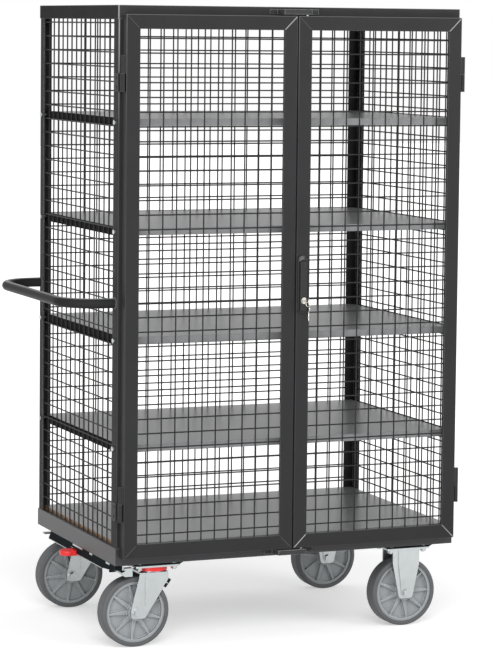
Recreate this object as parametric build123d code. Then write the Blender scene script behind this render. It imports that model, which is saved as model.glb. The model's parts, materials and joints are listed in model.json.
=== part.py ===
from build123d import *
import os

# Mesh cage trolley with shelves, double doors and a push handle, in millimetres.
# The origin is on the floor under the middle of the cage.
# -X is the push handle end, -Y the door side, +Z up.

# Cage
CAGE_W = 1046.0         # over the base and the roof, along X
CAGE_D = 692.0          # over the base and the roof, along Y
CAGE_H = 1800.0         # floor to roof top
BASE_H = 50.0           # base rail height
BASE_FLANGE = 40.0      # base rail width
BASE_T = 3.0            # base rail sheet
BASE_R = 2.0            # rounding of the base rail edges
ROOF_T = 2.0            # roof sheet
ROOF_EDGE = 38.0        # turned-down roof edge, with the sheet
ROOF_R = 1.5            # rounding of the roof's top edges
ROOF_CORNER = 6.0       # rounding of the roof's corners
POST_LEG = 35.0         # post angle leg
POST_T = 4.0            # post angle thickness
POST_R = 6.0            # rounding of the post's outer corner
POST_HOLE_D = 7.0       # spare holes in the post's side leg
POST_HOLES = (77.0, 776.0)      # base top to each spare hole
FLOOR_T = 10.0          # floor board

# Shelves
SHELF_COUNT = 4
SHELF_FIRST = 277.0     # floor top to the first shelf top
SHELF_PITCH = 302.5     # shelf top to shelf top
SHELF_T = 1.5           # shelf sheet
SHELF_EDGE = 20.0       # turned-down shelf edge, with the sheet
SHELF_R = 1.0           # rounding of the shelf's top edges
BAR_LEG = 25.0          # shelf bar angle leg
BAR_T = 3.0             # shelf bar thickness
BOLT_D = 8.0            # shelf bar bolt
BOLT_INSET = 22.0       # post edge to bolt
BOLT_HEAD_AF = 13.0     # bolt head across flats
BOLT_HEAD_H = 5.3       # bolt head height

# Wire mesh
WIRE_D = 4.0
MESH_PITCH = 40.5       # wire to wire, both ways
MESH_TUCK = 20.0        # cage mesh's top behind the roof's turned-down edge
MESH_LAP = 8.0          # wire end behind a post
DOOR_LAP = 6.0          # wire end behind a door frame

# Push handle
HANDLE_D = 28.0
HANDLE_WALL = 2.5
HANDLE_OUT = 134.0      # post face to the grip's middle
HANDLE_Z = 978.0
HANDLE_BEND = 100.0     # bend radius at the tube's middle

# Doors
DOOR_INSET = 12.0       # cage end to the door's hinge edge
DOOR_GAP = 4.0          # between the two leaves
DOOR_TOP = 25.0         # roof top to the door's top
DOOR_BOTTOM = 24.0      # base underside to the door's bottom
DOOR_FACE = 40.0        # face leg of the door angle
DOOR_DEPTH = 33.0       # side leg of the door angle
DOOR_T = 4.0            # door angle thickness
DOOR_CLEAR = 2.0        # door back to the cage front
DOOR_R = 2.0            # rounding of the door's front edges

# Hinges
HINGE_D = 12.0          # barrel
HINGE_PIN_D = 7.0
HINGE_HALF = 50.0       # length of each half
HINGE_PIN_SHORT = 5.0   # pin end below the upper half's top
HINGE_CAP = 4.0         # closed top of the upper half
HINGE_LOW = 104.0       # door's bottom to the lower hinge
HINGE_HIGH = 112.0      # upper hinge to the door's top
HINGE_SIDE = 8.0        # hinge edge to the axis
HINGE_BACK = 7.0        # door face to the axis
HINGE_PLATE = 3.0       # bracket sheet
HINGE_WRAP = 26.0       # bracket length along the post's side
HINGE_TAB = 8.0         # width of the upper half's weld tab

# Lock
LOCK_IN = 16.0          # door's free edge to the lock's middle
DISH_W = 26.0
DISH_H = 163.0
DISH_T = 6.0
BOSS_D = 20.0           # dish boss through the stile
PIVOT_UP = 60.0         # dish middle to the spindle
SPINDLE_D = 12.0
PINION_D = 15.0
PINION_W = 10.5
HEAD_W = 10.0           # spindle head in the lever's slot
HEAD_D = 7.2
TRUNNION_D = 4.0
LEVER_W = 20.0
LEVER_L = 142.0
LEVER_T = 10.5
LEVER_R = 2.0           # rounding of the lever's front edges
LEVER_SLOT = 9.0        # slot depth below the pivot
LEVER_GAP = 0.75        # lever to dish
CYLINDER_DOWN = 105.0   # spindle to key cylinder
CYLINDER_D = 15.0
CYLINDER_FACE_D = 18.0
CYLINDER_FACE_T = 3.0
CYLINDER_SHORT = 0.5    # cylinder end inside the lever's back
PLUG_D = 10.0
KEY_T = 2.2
KEY_SHANK = 11.0
KEY_SHANK_H = 7.0
KEY_BOW_D = 22.0
KEY_EYE_D = 3.6
KEY_EYE_IN = 4.0        # bow edge to the eye's middle
RING_D = 14.0           # key ring, at the wire's middle
RING_WIRE_D = 1.8
SPARE_BOW_D = 18.0
SPARE_EYE_IN = 3.5
SPARE_BLADE = 26.0
SPARE_BLADE_W = 7.0

# Lock rods and keepers
ROD_D = 8.0
ROD_BACK = 6.0          # face leg's back to the rod's middle
ROD_STANDOUT = 3.0      # rod tip beyond the door's end
RACK_T = 3.0            # lower rod's flat beside the pinion
RACK_HALF = 14.0        # flat beyond the pinion's middle
JOG_DOWN = 25.0         # pinion's middle to the lower rod's cross piece
JOG_H = 6.0
GUIDE_W = 11.4
GUIDE_D = 14.0
GUIDE_H = 12.0
GUIDE_SPACING = 300.0
GUIDE_FIRST = 220.0     # pinion's middle to the nearest guide
KEEPER_W = 150.0
KEEPER_FOOT = 25.0
KEEPER_BOW = 84.0       # straight front of the keeper
KEEPER_T = 3.0
KEEPER_H = 14.0
KEEPER_CLEAR = 1.5      # keeper to rod
KEEPER_GAP = 1.5        # rod tip to keeper, past the door's end

# Castors
CASTOR_H = 235.0        # floor to the plate's top
CASTOR_OVER = 35.0      # wheel's top to the plate's top
CASTOR_END = 133.0      # cage end to the plate's middle
CASTOR_SIDE = 66.0      # cage front to the plate's middle
CASTOR_TRAIL = 55.0     # swivel axis to the wheel's axle
PLATE_L = 135.0
PLATE_W = 110.0
PLATE_T = 5.0
PLATE_R = 8.0
PLATE_HOLES_X = 105.0
PLATE_HOLES_Y = 80.0
CUP_D = 78.0            # bearing cup under the swivel plate
CUP_H = 8.0
KING_D = 16.0
KING_NUT_AF = 24.0
KING_NUT_H = 10.0
CROWN_DROP = 22.0       # plate top to fork crown top
CROWN_L = 84.0
CROWN_T = 5.0
RACE_D = 72.0           # bearing race on the fork crown
FORK_GAP = 66.0         # between the legs
FORK_T = 4.0
FORK_RIB = 3.0          # raised middle of each leg
FIXED_RIB_W = 50.0
SWIVEL_RIB_IN = 23.0    # axle to the upright rear edge of the swivel fork's rib
SWIVEL_RIB_EDGE = 7.0   # rib to the leg's front edge at the top
SWIVEL_RIB_R = 5.0      # rib's lower end
SWIVEL_RIB_UP = 22.0    # axle to the middle of that end
FORK_STRAIGHT = 22.0    # swivel fork's leg height before it narrows
FORK_BACK = 4.5         # swivel axis to the middle of the crown
FOOT_AHEAD = 4.5        # axle to the middle of the swivel fork's leg end
FIXED_STRAIGHT = 46.0   # the same at the fixed fork
FIXED_LEG_L = 84.0      # fixed fork's leg at the plate
FOOT_W = 46.0           # leg end at the axle
FOOT_DROP = 17.0        # axle to the leg's end
FOOT_R = 10.0
RIB_FOOT_R = 14.0
AXLE_D = 12.0
AXLE_AF = 19.0
AXLE_HEAD_H = 7.5
AXLE_NUT_H = 10.0
AXLE_END = 3.0          # thread past the nut
CASTOR_BOLT_D = 10.0
CASTOR_BOLT_AF = 17.0
CASTOR_NUT_H = 8.0
CASTOR_BOLT_END = 3.0   # thread past the nut
CASTOR_HEAD_D = 17.0

# Wheels
TYRE_W = 50.0
TYRE_T = 13.0           # tread to the tyre's seat
TYRE_R = 7.0            # tyre shoulder rounding
RIM_T = 8.0             # rim wall
RIM_W = 42.0
WEB_T = 16.0
HUB_D = 48.0
HUB_W = 60.0
HUB_BORE_D = 20.0
RIB_COUNT = 9
RIB_T = 4.0             # at the rim
RIB_HUB_T = 12.0        # at the hub
RIB_W = 34.0
RIB_ROOT = 1.0          # rib end let into hub and rim
RIM_TURNS = {"front_left": 23.0, "front_right": 0.0, "rear_left": 24.0, "rear_right": 12.0}
BEARING_D = 32.0
BEARING_W = 10.0
SLEEVE_D = 18.0

# Castor beams
BEAM_FLAT = 129.0       # flat underside
BEAM_SLOPE = 15.0       # sloped side, along X
BEAM_H = 8.0
BEAM_T = 3.0
BEAM_SHORT = 12.0       # cage front to the beam's end

# Brake rail
RAIL_T = 3.0
RAIL_FLANGE = 43.0
RAIL_H = 26.0           # base to the rail's lower edge
RAIL_NOSE = 15.0        # base to the lower edge at the front end
RAIL_TAPER = 109.0      # length of the sloped lower edge
RAIL_REAR = 98.0        # cage back to the rail's lower rear corner
RAIL_LEAN = 24.0        # rear end's lean
RAIL_END_W = 24.0       # plate that closes the front end
RAIL_SLOT_H = 4.0
RAIL_SLOTS = ((50.0, 80.0), (196.0, 220.0), (283.0, 367.0))     # cage front to each slot's ends
LUG_FRONT = 94.0        # cage front to the front lug
LUG_REAR = 130.0        # cage back to the rear lug
LUG_W = 28.0
LUG_T = 8.0
LUG_END = 10.0          # lug below the shaft's middle

# Brake
BRAKE_IN = 31.0         # cage end to the brake shaft
BRAKE_DROP = 17.0       # castor plate's top to the brake shaft
BRAKE_D = 12.0
CAM_FRONT = 26.5        # cage front to the front cam's back
CAM_IN = (2.0, 24.0)    # shaft's middle to the cam's two sides
CAM_UP = (-9.0, 15.0)   # shaft's middle to the cam's underside and top
CAM_T = 18.0
TONGUE_L = 37.0         # shaft's middle to the rear cam's tip
TONGUE_T = 4.0
TONGUE_UP = 13.0        # shaft's middle to the tongue's top
PEDAL_Y = 20.0
PEDAL_W = 50.0
PEDAL_T = 16.0
PEDAL_OUT = 39.0        # cage end to the pedal's tip
PEDAL_CLEAR = 4.0       # pedal to the rail's notch
PEDAL_HUB_D = 20.0
PEDAL_R = 22.0          # rounding of the pedal's corners
COLLAR_WALL = 5.0
COLLAR_H = 13.0
COLLAR_GAP = 1.0        # plate to collar

# Fits
RUN_FIT = 0.05          # radial, turning or sliding pin
PRESS_FIT = 0.02        # radial, pieces fixed together
BOLT_FIT = 0.25         # radial, bolt in its hole
SLIDE_GAP = 0.3         # faces that pass each other
WELD_GAP = 0.05         # crossed wires
SEAT_GAP = 1.0          # loose sheet in its frame
ROD_HOLE_GAP = 0.5      # radial, rod through the door's edge
CUT = 1.0               # overrun of a cutting solid

# Worked out from the sizes above
half_w = CAGE_W / 2
half_d = CAGE_D / 2
base_z = CASTOR_H + BEAM_H
base_top = base_z + BASE_H
roof_under = CAGE_H - ROOF_T
roof_edge_z = CAGE_H - ROOF_EDGE
floor_top = base_top + FLOOR_T
shelf_tops = [floor_top + SHELF_FIRST + i * SHELF_PITCH for i in range(SHELF_COUNT)]

post_x = half_w - ROOF_T
post_y = half_d - ROOF_T
post_in_x = post_x - POST_T
post_in_y = post_y - POST_T
post_edge_x = post_x - POST_LEG
post_edge_y = post_y - POST_LEG

mesh_top = roof_edge_z + MESH_TUCK
wire_step = WIRE_D + WELD_GAP
side_row_x = post_in_x - WIRE_D / 2
side_col_x = side_row_x - wire_step
side_in = side_col_x - wire_step + WIRE_D / 2
back_row_y = post_in_y - WIRE_D / 2
back_col_y = back_row_y - wire_step
back_in = back_col_y - wire_step + WIRE_D / 2

bolt_y = post_y - BOLT_INSET
bar_in = side_in - BAR_T
shelf_x = bar_in - SEAT_GAP
shelf_front = SEAT_GAP - post_in_y
shelf_back = back_in - SEAT_GAP

door_x0 = DOOR_GAP / 2
door_x1 = half_w - DOOR_INSET
door_back = -half_d - DOOR_CLEAR
door_front = door_back - DOOR_DEPTH
door_z0 = base_z + DOOR_BOTTOM
door_z1 = CAGE_H - DOOR_TOP
door_leg_back = door_front + DOOR_T
door_row_y = door_leg_back + WIRE_D / 2
door_col_y = door_row_y + wire_step

hinge_x = door_x1 + HINGE_SIDE
hinge_y = door_front + HINGE_BACK
hinge_zs = [door_z0 + HINGE_LOW, door_z1 - HINGE_HIGH - 2 * HINGE_HALF]

lock_x = door_x0 + LOCK_IN
lock_z = (door_z0 + door_z1) / 2
pivot_z = lock_z + PIVOT_UP
dish_face = door_front - DISH_T
pivot_y = dish_face - LEVER_GAP - LEVER_T / 2
lever_face = pivot_y - LEVER_T / 2
lever_back = pivot_y + LEVER_T / 2
cylinder_z = pivot_z - CYLINDER_DOWN
cylinder_face = lever_face - CYLINDER_FACE_T
bow_y = cylinder_face - KEY_SHANK - KEY_BOW_D / 2
ring_y = bow_y - KEY_BOW_D / 2 + KEY_EYE_IN
ring_foot_z = cylinder_z - RING_D

rod_x = lock_x + PINION_D / 2 + SLIDE_GAP + ROD_D / 2
rod_y = door_leg_back + ROD_BACK
rack_x = lock_x - PINION_D / 2 - SLIDE_GAP
rod_top_z = door_z1 + ROD_STANDOUT
rod_bottom_z = door_z0 - ROD_STANDOUT

castor_x = half_w - CASTOR_END
castor_y = half_d - CASTOR_SIDE
wheel_r = (CASTOR_H - CASTOR_OVER) / 2
rim_r = wheel_r - TYRE_T
plate_under = CASTOR_H - PLATE_T
cup_under = plate_under - CUP_H
crown_top = CASTOR_H - CROWN_DROP
crown_under = crown_top - CROWN_T
leg_in = FORK_GAP / 2
leg_out = leg_in + FORK_T
rib_out = leg_out + FORK_RIB
beam_y = half_d - BEAM_SHORT
brake_x = BRAKE_IN - half_w
brake_z = CASTOR_H - BRAKE_DROP
pedal_y0 = PEDAL_Y - PEDAL_W / 2
pedal_y1 = PEDAL_Y + PEDAL_W / 2
lug_ys = [LUG_FRONT - half_d, half_d - LUG_REAR]
cam_front = CAM_FRONT - half_d
cam_rear = castor_y
SIDES = {"front": -1, "rear": 1}


# Shared shapes

def block(x0, x1, y0, y1, z0, z1):
    """Box between two corners."""
    middle = Pos((x0 + x1) / 2, (y0 + y1) / 2, (z0 + z1) / 2)
    return middle * Box(abs(x1 - x0), abs(y1 - y0), abs(z1 - z0))


def along(start, end):
    """Plane at a start point that faces an end point, and the distance between them."""
    axis = Vector(*end) - Vector(*start)
    return Plane(origin=start, z_dir=axis), axis.length


def bar(start, end, diameter):
    """Round bar between two points."""
    plane, length = along(start, end)
    return plane * Cylinder(diameter / 2, length, align=(Align.CENTER, Align.CENTER, Align.MIN))


def hex_bar(start, end, across):
    """Hexagonal bar between two points."""
    plane, length = along(start, end)
    return plane * extrude(RegularPolygon(across / 2, 6, major_radius=False), length)


def tube(outer, inner, y0, y1):
    """Ring round the Y axis."""
    bore = bar((0, y0 - CUT, 0), (0, y1 + CUT, 0), inner)
    return bar((0, y0, 0), (0, y1, 0), outer) - bore


def upright(outline, y0, y1):
    """Outline drawn in X and Z, made solid from y0 to y1."""
    plane = Plane(origin=(0, y0, 0), x_dir=(1, 0, 0), z_dir=(0, -1, 0))
    return extrude(plane * outline, y1 - y0, dir=(0, 1, 0))


def mitre(ring, plane, corners, reach, depth):
    """Cut a rectangular ring into four bars with mitred ends."""
    (x0, y0), (x1, y1) = corners
    outer = [(x0, y0), (x1, y0), (x1, y1), (x0, y1)]
    turns = [(1, 1), (-1, 1), (-1, -1), (1, -1)]
    inner = [(x + reach * i, y + reach * j) for (x, y), (i, j) in zip(outer, turns)]
    bars = []
    for here, there in ((0, 1), (1, 2), (2, 3), (3, 0)):
        outline = Polyline(outer[here], outer[there], inner[there], inner[here], close=True)
        bars.append(ring & extrude(plane * make_face(outline), depth, both=True))
    return bars


def spread(low, high):
    """Wire places between two edges, at the mesh pitch with equal margins."""
    count = int((high - low) / MESH_PITCH)
    first = (low + high - (count - 1) * MESH_PITCH) / 2
    return [first + i * MESH_PITCH for i in range(count)]


def handed(shape):
    """The same shape on the other side of the cage's middle."""
    return mirror(shape, about=Plane.YZ)


def save(node, *shapes):
    """Write one node's solids."""
    solids = [solid for shape in shapes for solid in shape.solids()]
    export_step(Compound(solids) if len(solids) > 1 else solids[0], f"parts/{node}.step")


# Cage

def base_frame():
    """Inward-facing channel rails with mitred corners."""
    outer = block(-half_w, half_w, -half_d, half_d, base_z, base_top)
    outer = fillet(outer.edges(), BASE_R)
    web_x = half_w - BASE_T
    web_y = half_d - BASE_T
    well_x = half_w - BASE_FLANGE
    well_y = half_d - BASE_FLANGE
    channel = block(-web_x, web_x, -web_y, web_y, base_z + BASE_T, base_top - BASE_T)
    well = block(-well_x, well_x, -well_y, well_y, base_z - CUT, base_top + CUT)
    plane = Plane.XY.offset(base_z + BASE_H / 2)
    corners = (-half_w, -half_d), (half_w, half_d)
    return mitre(outer - channel - well, plane, corners, BASE_FLANGE + CUT, BASE_H)


def roof_panel():
    """Sheet with its four edges turned down."""
    outer = block(-half_w, half_w, -half_d, half_d, roof_edge_z, CAGE_H)
    outer = fillet(outer.edges().filter_by(Axis.Z), ROOF_CORNER)
    outer = fillet(outer.faces().sort_by(Axis.Z)[-1].edges(), ROOF_R)
    inner = block(-post_x, post_x, -post_y, post_y, roof_edge_z - CUT, roof_under)
    return outer - fillet(inner.edges().filter_by(Axis.Z), ROOF_CORNER - ROOF_T)


def floor_panel():
    """Board on the base rails, inside the mesh."""
    edge = side_in - SEAT_GAP
    return block(-edge, edge, shelf_front, shelf_back, base_top, floor_top)


def bolt_zs():
    """Heights of the shelf bar bolts."""
    return [top - SHELF_EDGE / 2 for top in shelf_tops]


def post(side_x, side_y):
    """Corner angle with the shelf bolts' holes and two spare holes in its side leg."""
    x0, x1 = side_x * post_in_x, side_x * post_x
    y0, y1 = side_y * post_in_y, side_y * post_y
    side_leg = block(x0, x1, side_y * post_edge_y, y1, base_top, roof_under)
    end_leg = block(side_x * post_edge_x, x1, y0, y1, base_top, roof_under)
    angle = side_leg + end_leg
    corner = angle.edges().filter_by(Axis.Z).sort_by_distance((x1, y1, (base_top + roof_under) / 2))[0]
    angle = fillet(corner, POST_R)
    y = side_y * bolt_y
    holes = [(z, BOLT_D + 2 * BOLT_FIT) for z in bolt_zs()]
    holes += [(base_top + rise, POST_HOLE_D) for rise in POST_HOLES]
    for z, diameter in holes:
        angle -= bar((x0 - side_x * CUT, y, z), (x1 + side_x * CUT, y, z), diameter)
    return angle


def side_mesh(side_x):
    """Upright wires inside level wires, between two posts."""
    reach = post_edge_y + MESH_LAP
    row_x = side_x * side_row_x
    col_x = side_x * side_col_x
    rows = [bar((row_x, -reach, z), (row_x, reach, z), WIRE_D) for z in spread(floor_top, mesh_top)]
    cols = [bar((col_x, y, base_top), (col_x, y, roof_under), WIRE_D)
            for y in spread(-post_edge_y, post_edge_y)]
    return rows + cols


def back_mesh():
    """Upright wires inside level wires, between the rear posts."""
    reach = post_edge_x + MESH_LAP
    rows = [bar((-reach, back_row_y, z), (reach, back_row_y, z), WIRE_D)
            for z in spread(floor_top, mesh_top)]
    cols = [bar((x, back_col_y, base_top), (x, back_col_y, roof_under), WIRE_D)
            for x in spread(-post_edge_x, post_edge_x)]
    return rows + cols


def shelf(top):
    """Sheet tray with its edges turned down."""
    outer = block(-shelf_x, shelf_x, shelf_front, shelf_back, top - SHELF_EDGE, top)
    outer = fillet(outer.faces().sort_by(Axis.Z)[-1].edges(), SHELF_R)
    hollow_x = shelf_x - SHELF_T
    hollow_y0 = shelf_front + SHELF_T
    hollow_y1 = shelf_back - SHELF_T
    return outer - block(-hollow_x, hollow_x, hollow_y0, hollow_y1, top - SHELF_EDGE - CUT, top - SHELF_T)


def shelf_bar(top, bolt_z):
    """Angle under the right end of a shelf, drilled for its two bolts."""
    under = top - SHELF_EDGE - BAR_T
    ledge = block(side_in - BAR_LEG, side_in, shelf_front, shelf_back, under, under + BAR_T)
    angle = ledge + block(bar_in, side_in, shelf_front, shelf_back, under, under + BAR_LEG)
    for y in (-bolt_y, bolt_y):
        angle -= bar((bar_in - CUT, y, bolt_z), (side_in + CUT, y, bolt_z), BOLT_D + 2 * PRESS_FIT)
    return angle


def shelf_bolt(y, z):
    """Bolt through the right-hand post and mesh into the shelf bar."""
    shank = bar((bar_in, y, z), (post_x + CUT, y, z), BOLT_D)
    return shank + hex_bar((post_x, y, z), (post_x + BOLT_HEAD_H, y, z), BOLT_HEAD_AF)


def push_handle():
    """Bent tube from one handle-end post to the other."""
    y = post_y - POST_LEG / 2
    out = -post_x - HANDLE_OUT
    corners = [(-post_x, -y), (out, -y), (out, y), (-post_x, y)]
    path = FilletPolyline(*[(px, py, HANDLE_Z) for px, py in corners], radius=HANDLE_BEND)
    section = Circle(HANDLE_D / 2) - Circle(HANDLE_D / 2 - HANDLE_WALL)
    return sweep(Plane(origin=path @ 0, z_dir=path % 0) * section, path=path)


# Doors, modelled as the right leaf

def door_frame():
    """Angle frame as four mitred bars: bottom, hinge side, top, free side."""
    outer = block(door_x0, door_x1, door_front, door_back, door_z0, door_z1)
    outer = fillet(outer.faces().sort_by(Axis.Y)[0].edges(), DOOR_R)
    recess = block(door_x0 + DOOR_T, door_x1 - DOOR_T, door_leg_back, door_back + CUT,
                   door_z0 + DOOR_T, door_z1 - DOOR_T)
    window = block(door_x0 + DOOR_FACE, door_x1 - DOOR_FACE, door_front - CUT, door_back + CUT,
                   door_z0 + DOOR_FACE, door_z1 - DOOR_FACE)
    plane = Plane(origin=(0, door_front, 0), x_dir=(1, 0, 0), z_dir=(0, -1, 0))
    corners = (door_x0, door_z0), (door_x1, door_z1)
    return mitre(outer - recess - window, plane, corners, DOOR_FACE + CUT, DOOR_DEPTH)


def lock_door_frame():
    """Door frame with holes for the lock's boss and rods."""
    rods = bar((rod_x, rod_y, door_z0 - CUT), (rod_x, rod_y, door_z1 + CUT), ROD_D + 2 * ROD_HOLE_GAP)
    boss = bar((lock_x, door_front - CUT, pivot_z), (lock_x, door_leg_back + CUT, pivot_z),
               BOSS_D + 2 * PRESS_FIT)
    bottom, hinge_side, top, free_side = door_frame()
    return [bottom - rods, hinge_side, top - rods, free_side - boss]


def door_mesh():
    """Upright wires behind level wires, welded to the frame's back."""
    x0, x1 = door_x0 + DOOR_FACE, door_x1 - DOOR_FACE
    z0, z1 = door_z0 + DOOR_FACE, door_z1 - DOOR_FACE
    rows = [bar((x0 - DOOR_LAP, door_row_y, z), (x1 + DOOR_LAP, door_row_y, z), WIRE_D)
            for z in spread(z0, z1)]
    cols = [bar((x, door_col_y, z0 - DOOR_LAP), (x, door_col_y, z1 + DOOR_LAP), WIRE_D)
            for x in spread(x0, x1)]
    return rows + cols


def hinge_bracket(z):
    """Lower hinge half with its pin, on a plate that wraps the right front post."""
    z1 = z + HINGE_HALF
    left = hinge_x - HINGE_D / 2
    plate_y = -post_y - HINGE_PLATE
    barrel = bar((hinge_x, hinge_y, z), (hinge_x, hinge_y, z1), HINGE_D)
    pin = bar((hinge_x, hinge_y, z), (hinge_x, hinge_y, z1 + HINGE_HALF - HINGE_PIN_SHORT), HINGE_PIN_D)
    tab = block(left, left + HINGE_PLATE, hinge_y, -post_y, z, z1)
    front = block(left, post_x + HINGE_PLATE, plate_y, -post_y, z, z1)
    side = block(post_x, post_x + HINGE_PLATE, plate_y, HINGE_WRAP - post_y, z, z1)
    return barrel + pin + tab + front + side


def hinge_knuckle(z):
    """Upper hinge half, welded to the right door's edge and lifted off its pin."""
    z0 = z + HINGE_HALF + SLIDE_GAP
    z1 = z + 2 * HINGE_HALF
    barrel = bar((hinge_x, hinge_y, z0), (hinge_x, hinge_y, z1), HINGE_D)
    tab = block(door_x1, hinge_x, hinge_y - HINGE_TAB / 2, hinge_y + HINGE_TAB / 2, z0, z1)
    bore = bar((hinge_x, hinge_y, z0 - CUT), (hinge_x, hinge_y, z1 - HINGE_CAP), HINGE_PIN_D + 2 * RUN_FIT)
    return barrel + tab - bore


# Lock

def lock_dish():
    """Round-ended backing plate with a bored boss through the stile."""
    outline = Pos(lock_x, lock_z) * SlotOverall(DISH_H, DISH_W, rotation=90)
    boss = bar((lock_x, door_front - CUT, pivot_z), (lock_x, door_leg_back, pivot_z), BOSS_D)
    bore = bar((lock_x, dish_face - CUT, pivot_z), (lock_x, door_leg_back + CUT, pivot_z),
               SPINDLE_D + 2 * RUN_FIT)
    return upright(outline, dish_face, door_front) + boss - bore


def lock_spindle():
    """Shaft with a pinion behind the stile and a trunnion head in front of the dish."""
    pinion_y0 = door_leg_back + SLIDE_GAP
    pinion_y1 = pinion_y0 + PINION_W
    shaft = bar((lock_x, dish_face, pivot_z), (lock_x, pinion_y1, pivot_z), SPINDLE_D)
    pinion = bar((lock_x, pinion_y0, pivot_z), (lock_x, pinion_y1, pivot_z), PINION_D)
    head_x = HEAD_W / 2
    stem = block(lock_x - head_x, lock_x + head_x, pivot_y, dish_face,
                 pivot_z - HEAD_D / 2, pivot_z + HEAD_D / 2)
    head = bar((lock_x - head_x, pivot_y, pivot_z), (lock_x + head_x, pivot_y, pivot_z), HEAD_D)
    pin_x = LEVER_W / 2
    trunnion = bar((lock_x - pin_x, pivot_y, pivot_z), (lock_x + pin_x, pivot_y, pivot_z), TRUNNION_D)
    return shaft + pinion + stem + head + trunnion


def lock_lever():
    """Round-ended lever, slotted for the spindle head and bored for the key cylinder."""
    top = pivot_z + LEVER_T / 2
    side = LEVER_W / 2
    slot = HEAD_W / 2 + SLIDE_GAP
    outline = Pos(pivot_y, top - LEVER_L / 2) * SlotOverall(LEVER_L, LEVER_T, rotation=90)
    lever = Pos(lock_x, 0, 0) * extrude(Plane.YZ * outline, side, both=True)
    front_edges = lever.edges().group_by(Axis.Y)[0]
    lever = fillet(front_edges, LEVER_R)
    lever -= block(lock_x - slot, lock_x + slot, lever_face - CUT, lever_back + CUT,
                   pivot_z - LEVER_SLOT, top + CUT)
    lever -= bar((lock_x - side - CUT, pivot_y, pivot_z), (lock_x + side + CUT, pivot_y, pivot_z),
                 TRUNNION_D + 2 * RUN_FIT)
    return lever - bar((lock_x, lever_face - CUT, cylinder_z), (lock_x, lever_back + CUT, cylinder_z),
                       CYLINDER_D + 2 * PRESS_FIT)


def lock_cylinder():
    """Flanged sleeve in the lever, bored for the plug."""
    end = lever_back - CYLINDER_SHORT
    sleeve = bar((lock_x, cylinder_face, cylinder_z), (lock_x, end, cylinder_z), CYLINDER_D)
    face = bar((lock_x, cylinder_face, cylinder_z), (lock_x, lever_face, cylinder_z), CYLINDER_FACE_D)
    bore = bar((lock_x, cylinder_face - CUT, cylinder_z), (lock_x, end + CUT, cylinder_z),
               PLUG_D + 2 * RUN_FIT)
    return sleeve + face - bore


def key():
    """Flat key standing in the cylinder's plug."""
    x0, x1 = lock_x - KEY_T / 2, lock_x + KEY_T / 2
    end = lever_back - CYLINDER_SHORT
    plug = bar((lock_x, cylinder_face, cylinder_z), (lock_x, end, cylinder_z), PLUG_D)
    shank = block(x0, x1, bow_y, cylinder_face, cylinder_z - KEY_SHANK_H / 2, cylinder_z + KEY_SHANK_H / 2)
    bow = bar((x0, bow_y, cylinder_z), (x1, bow_y, cylinder_z), KEY_BOW_D)
    eye = bar((x0 - CUT, ring_y, cylinder_z), (x1 + CUT, ring_y, cylinder_z), KEY_EYE_D)
    return plug + shank + bow - eye


def key_ring():
    """Ring through the key's eye."""
    return Pos(lock_x, ring_y, cylinder_z - RING_D / 2) * Rot(90, 0, 0) * Torus(RING_D / 2, RING_WIRE_D / 2)


def spare_key():
    """Flat key that hangs on the ring."""
    x0, x1 = lock_x - KEY_T / 2, lock_x + KEY_T / 2
    bow_z = ring_foot_z - SPARE_BOW_D / 2 + SPARE_EYE_IN
    tip_z = bow_z - SPARE_BOW_D / 2 - SPARE_BLADE
    bow = bar((x0, ring_y, bow_z), (x1, ring_y, bow_z), SPARE_BOW_D)
    blade = block(x0, x1, ring_y - SPARE_BLADE_W / 2, ring_y + SPARE_BLADE_W / 2, tip_z, bow_z)
    eye = bar((x0 - CUT, ring_y, ring_foot_z), (x1 + CUT, ring_y, ring_foot_z), KEY_EYE_D)
    return bow + blade - eye


def rod_top():
    """Upper lock rod, beside the pinion at its lower end."""
    return bar((rod_x, rod_y, pivot_z - RACK_HALF), (rod_x, rod_y, rod_top_z), ROD_D)


def rod_bottom():
    """Lower lock rod, which crosses under the pinion to a flat on its other side."""
    y0, y1 = rod_y - ROD_D / 2, rod_y + ROD_D / 2
    jog_z = pivot_z - JOG_DOWN
    flat = block(rack_x - RACK_T, rack_x, y0, y1, jog_z - JOG_H, pivot_z + RACK_HALF)
    jog = block(rack_x - RACK_T, rod_x + ROD_D / 2, y0, y1, jog_z - JOG_H, jog_z)
    return flat + jog + bar((rod_x, rod_y, rod_bottom_z), (rod_x, rod_y, jog_z), ROD_D)


def rod_guides():
    """Bored blocks on the stile's back, two for each rod."""
    guides = []
    for turn in (-1, 1):
        for i in range(2):
            z = pivot_z + turn * (GUIDE_FIRST + i * GUIDE_SPACING)
            guide = block(rod_x - GUIDE_W / 2, rod_x + GUIDE_W / 2, door_leg_back, door_leg_back + GUIDE_D,
                          z - GUIDE_H / 2, z + GUIDE_H / 2)
            bore = bar((rod_x, rod_y, z - GUIDE_H), (rod_x, rod_y, z + GUIDE_H), ROD_D + 2 * RUN_FIT)
            guides.append(guide - bore)
    return guides


def keeper(z0):
    """Bowed strap on the cage front that a rod runs behind."""
    bow_back = rod_y - ROD_D / 2 - KEEPER_CLEAR
    bow_front = bow_back - KEEPER_T
    foot_front = -half_d - KEEPER_T
    end = KEEPER_W / 2
    heel = end - KEEPER_FOOT
    bow = KEEPER_BOW / 2
    half = [(end, -half_d), (end, foot_front), (heel, foot_front), (bow, bow_front)]
    inner = [(bow - KEEPER_T, bow_back), (heel - KEEPER_T, -half_d)]
    left = [(-x, y) for x, y in reversed(half)]
    left_inner = [(-x, y) for x, y in reversed(inner)]
    outline = make_face(Polyline(*half, *left, *left_inner, *inner, close=True))
    return extrude(Plane.XY.offset(z0) * outline, KEEPER_H, dir=(0, 0, 1))


# Castors

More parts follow.
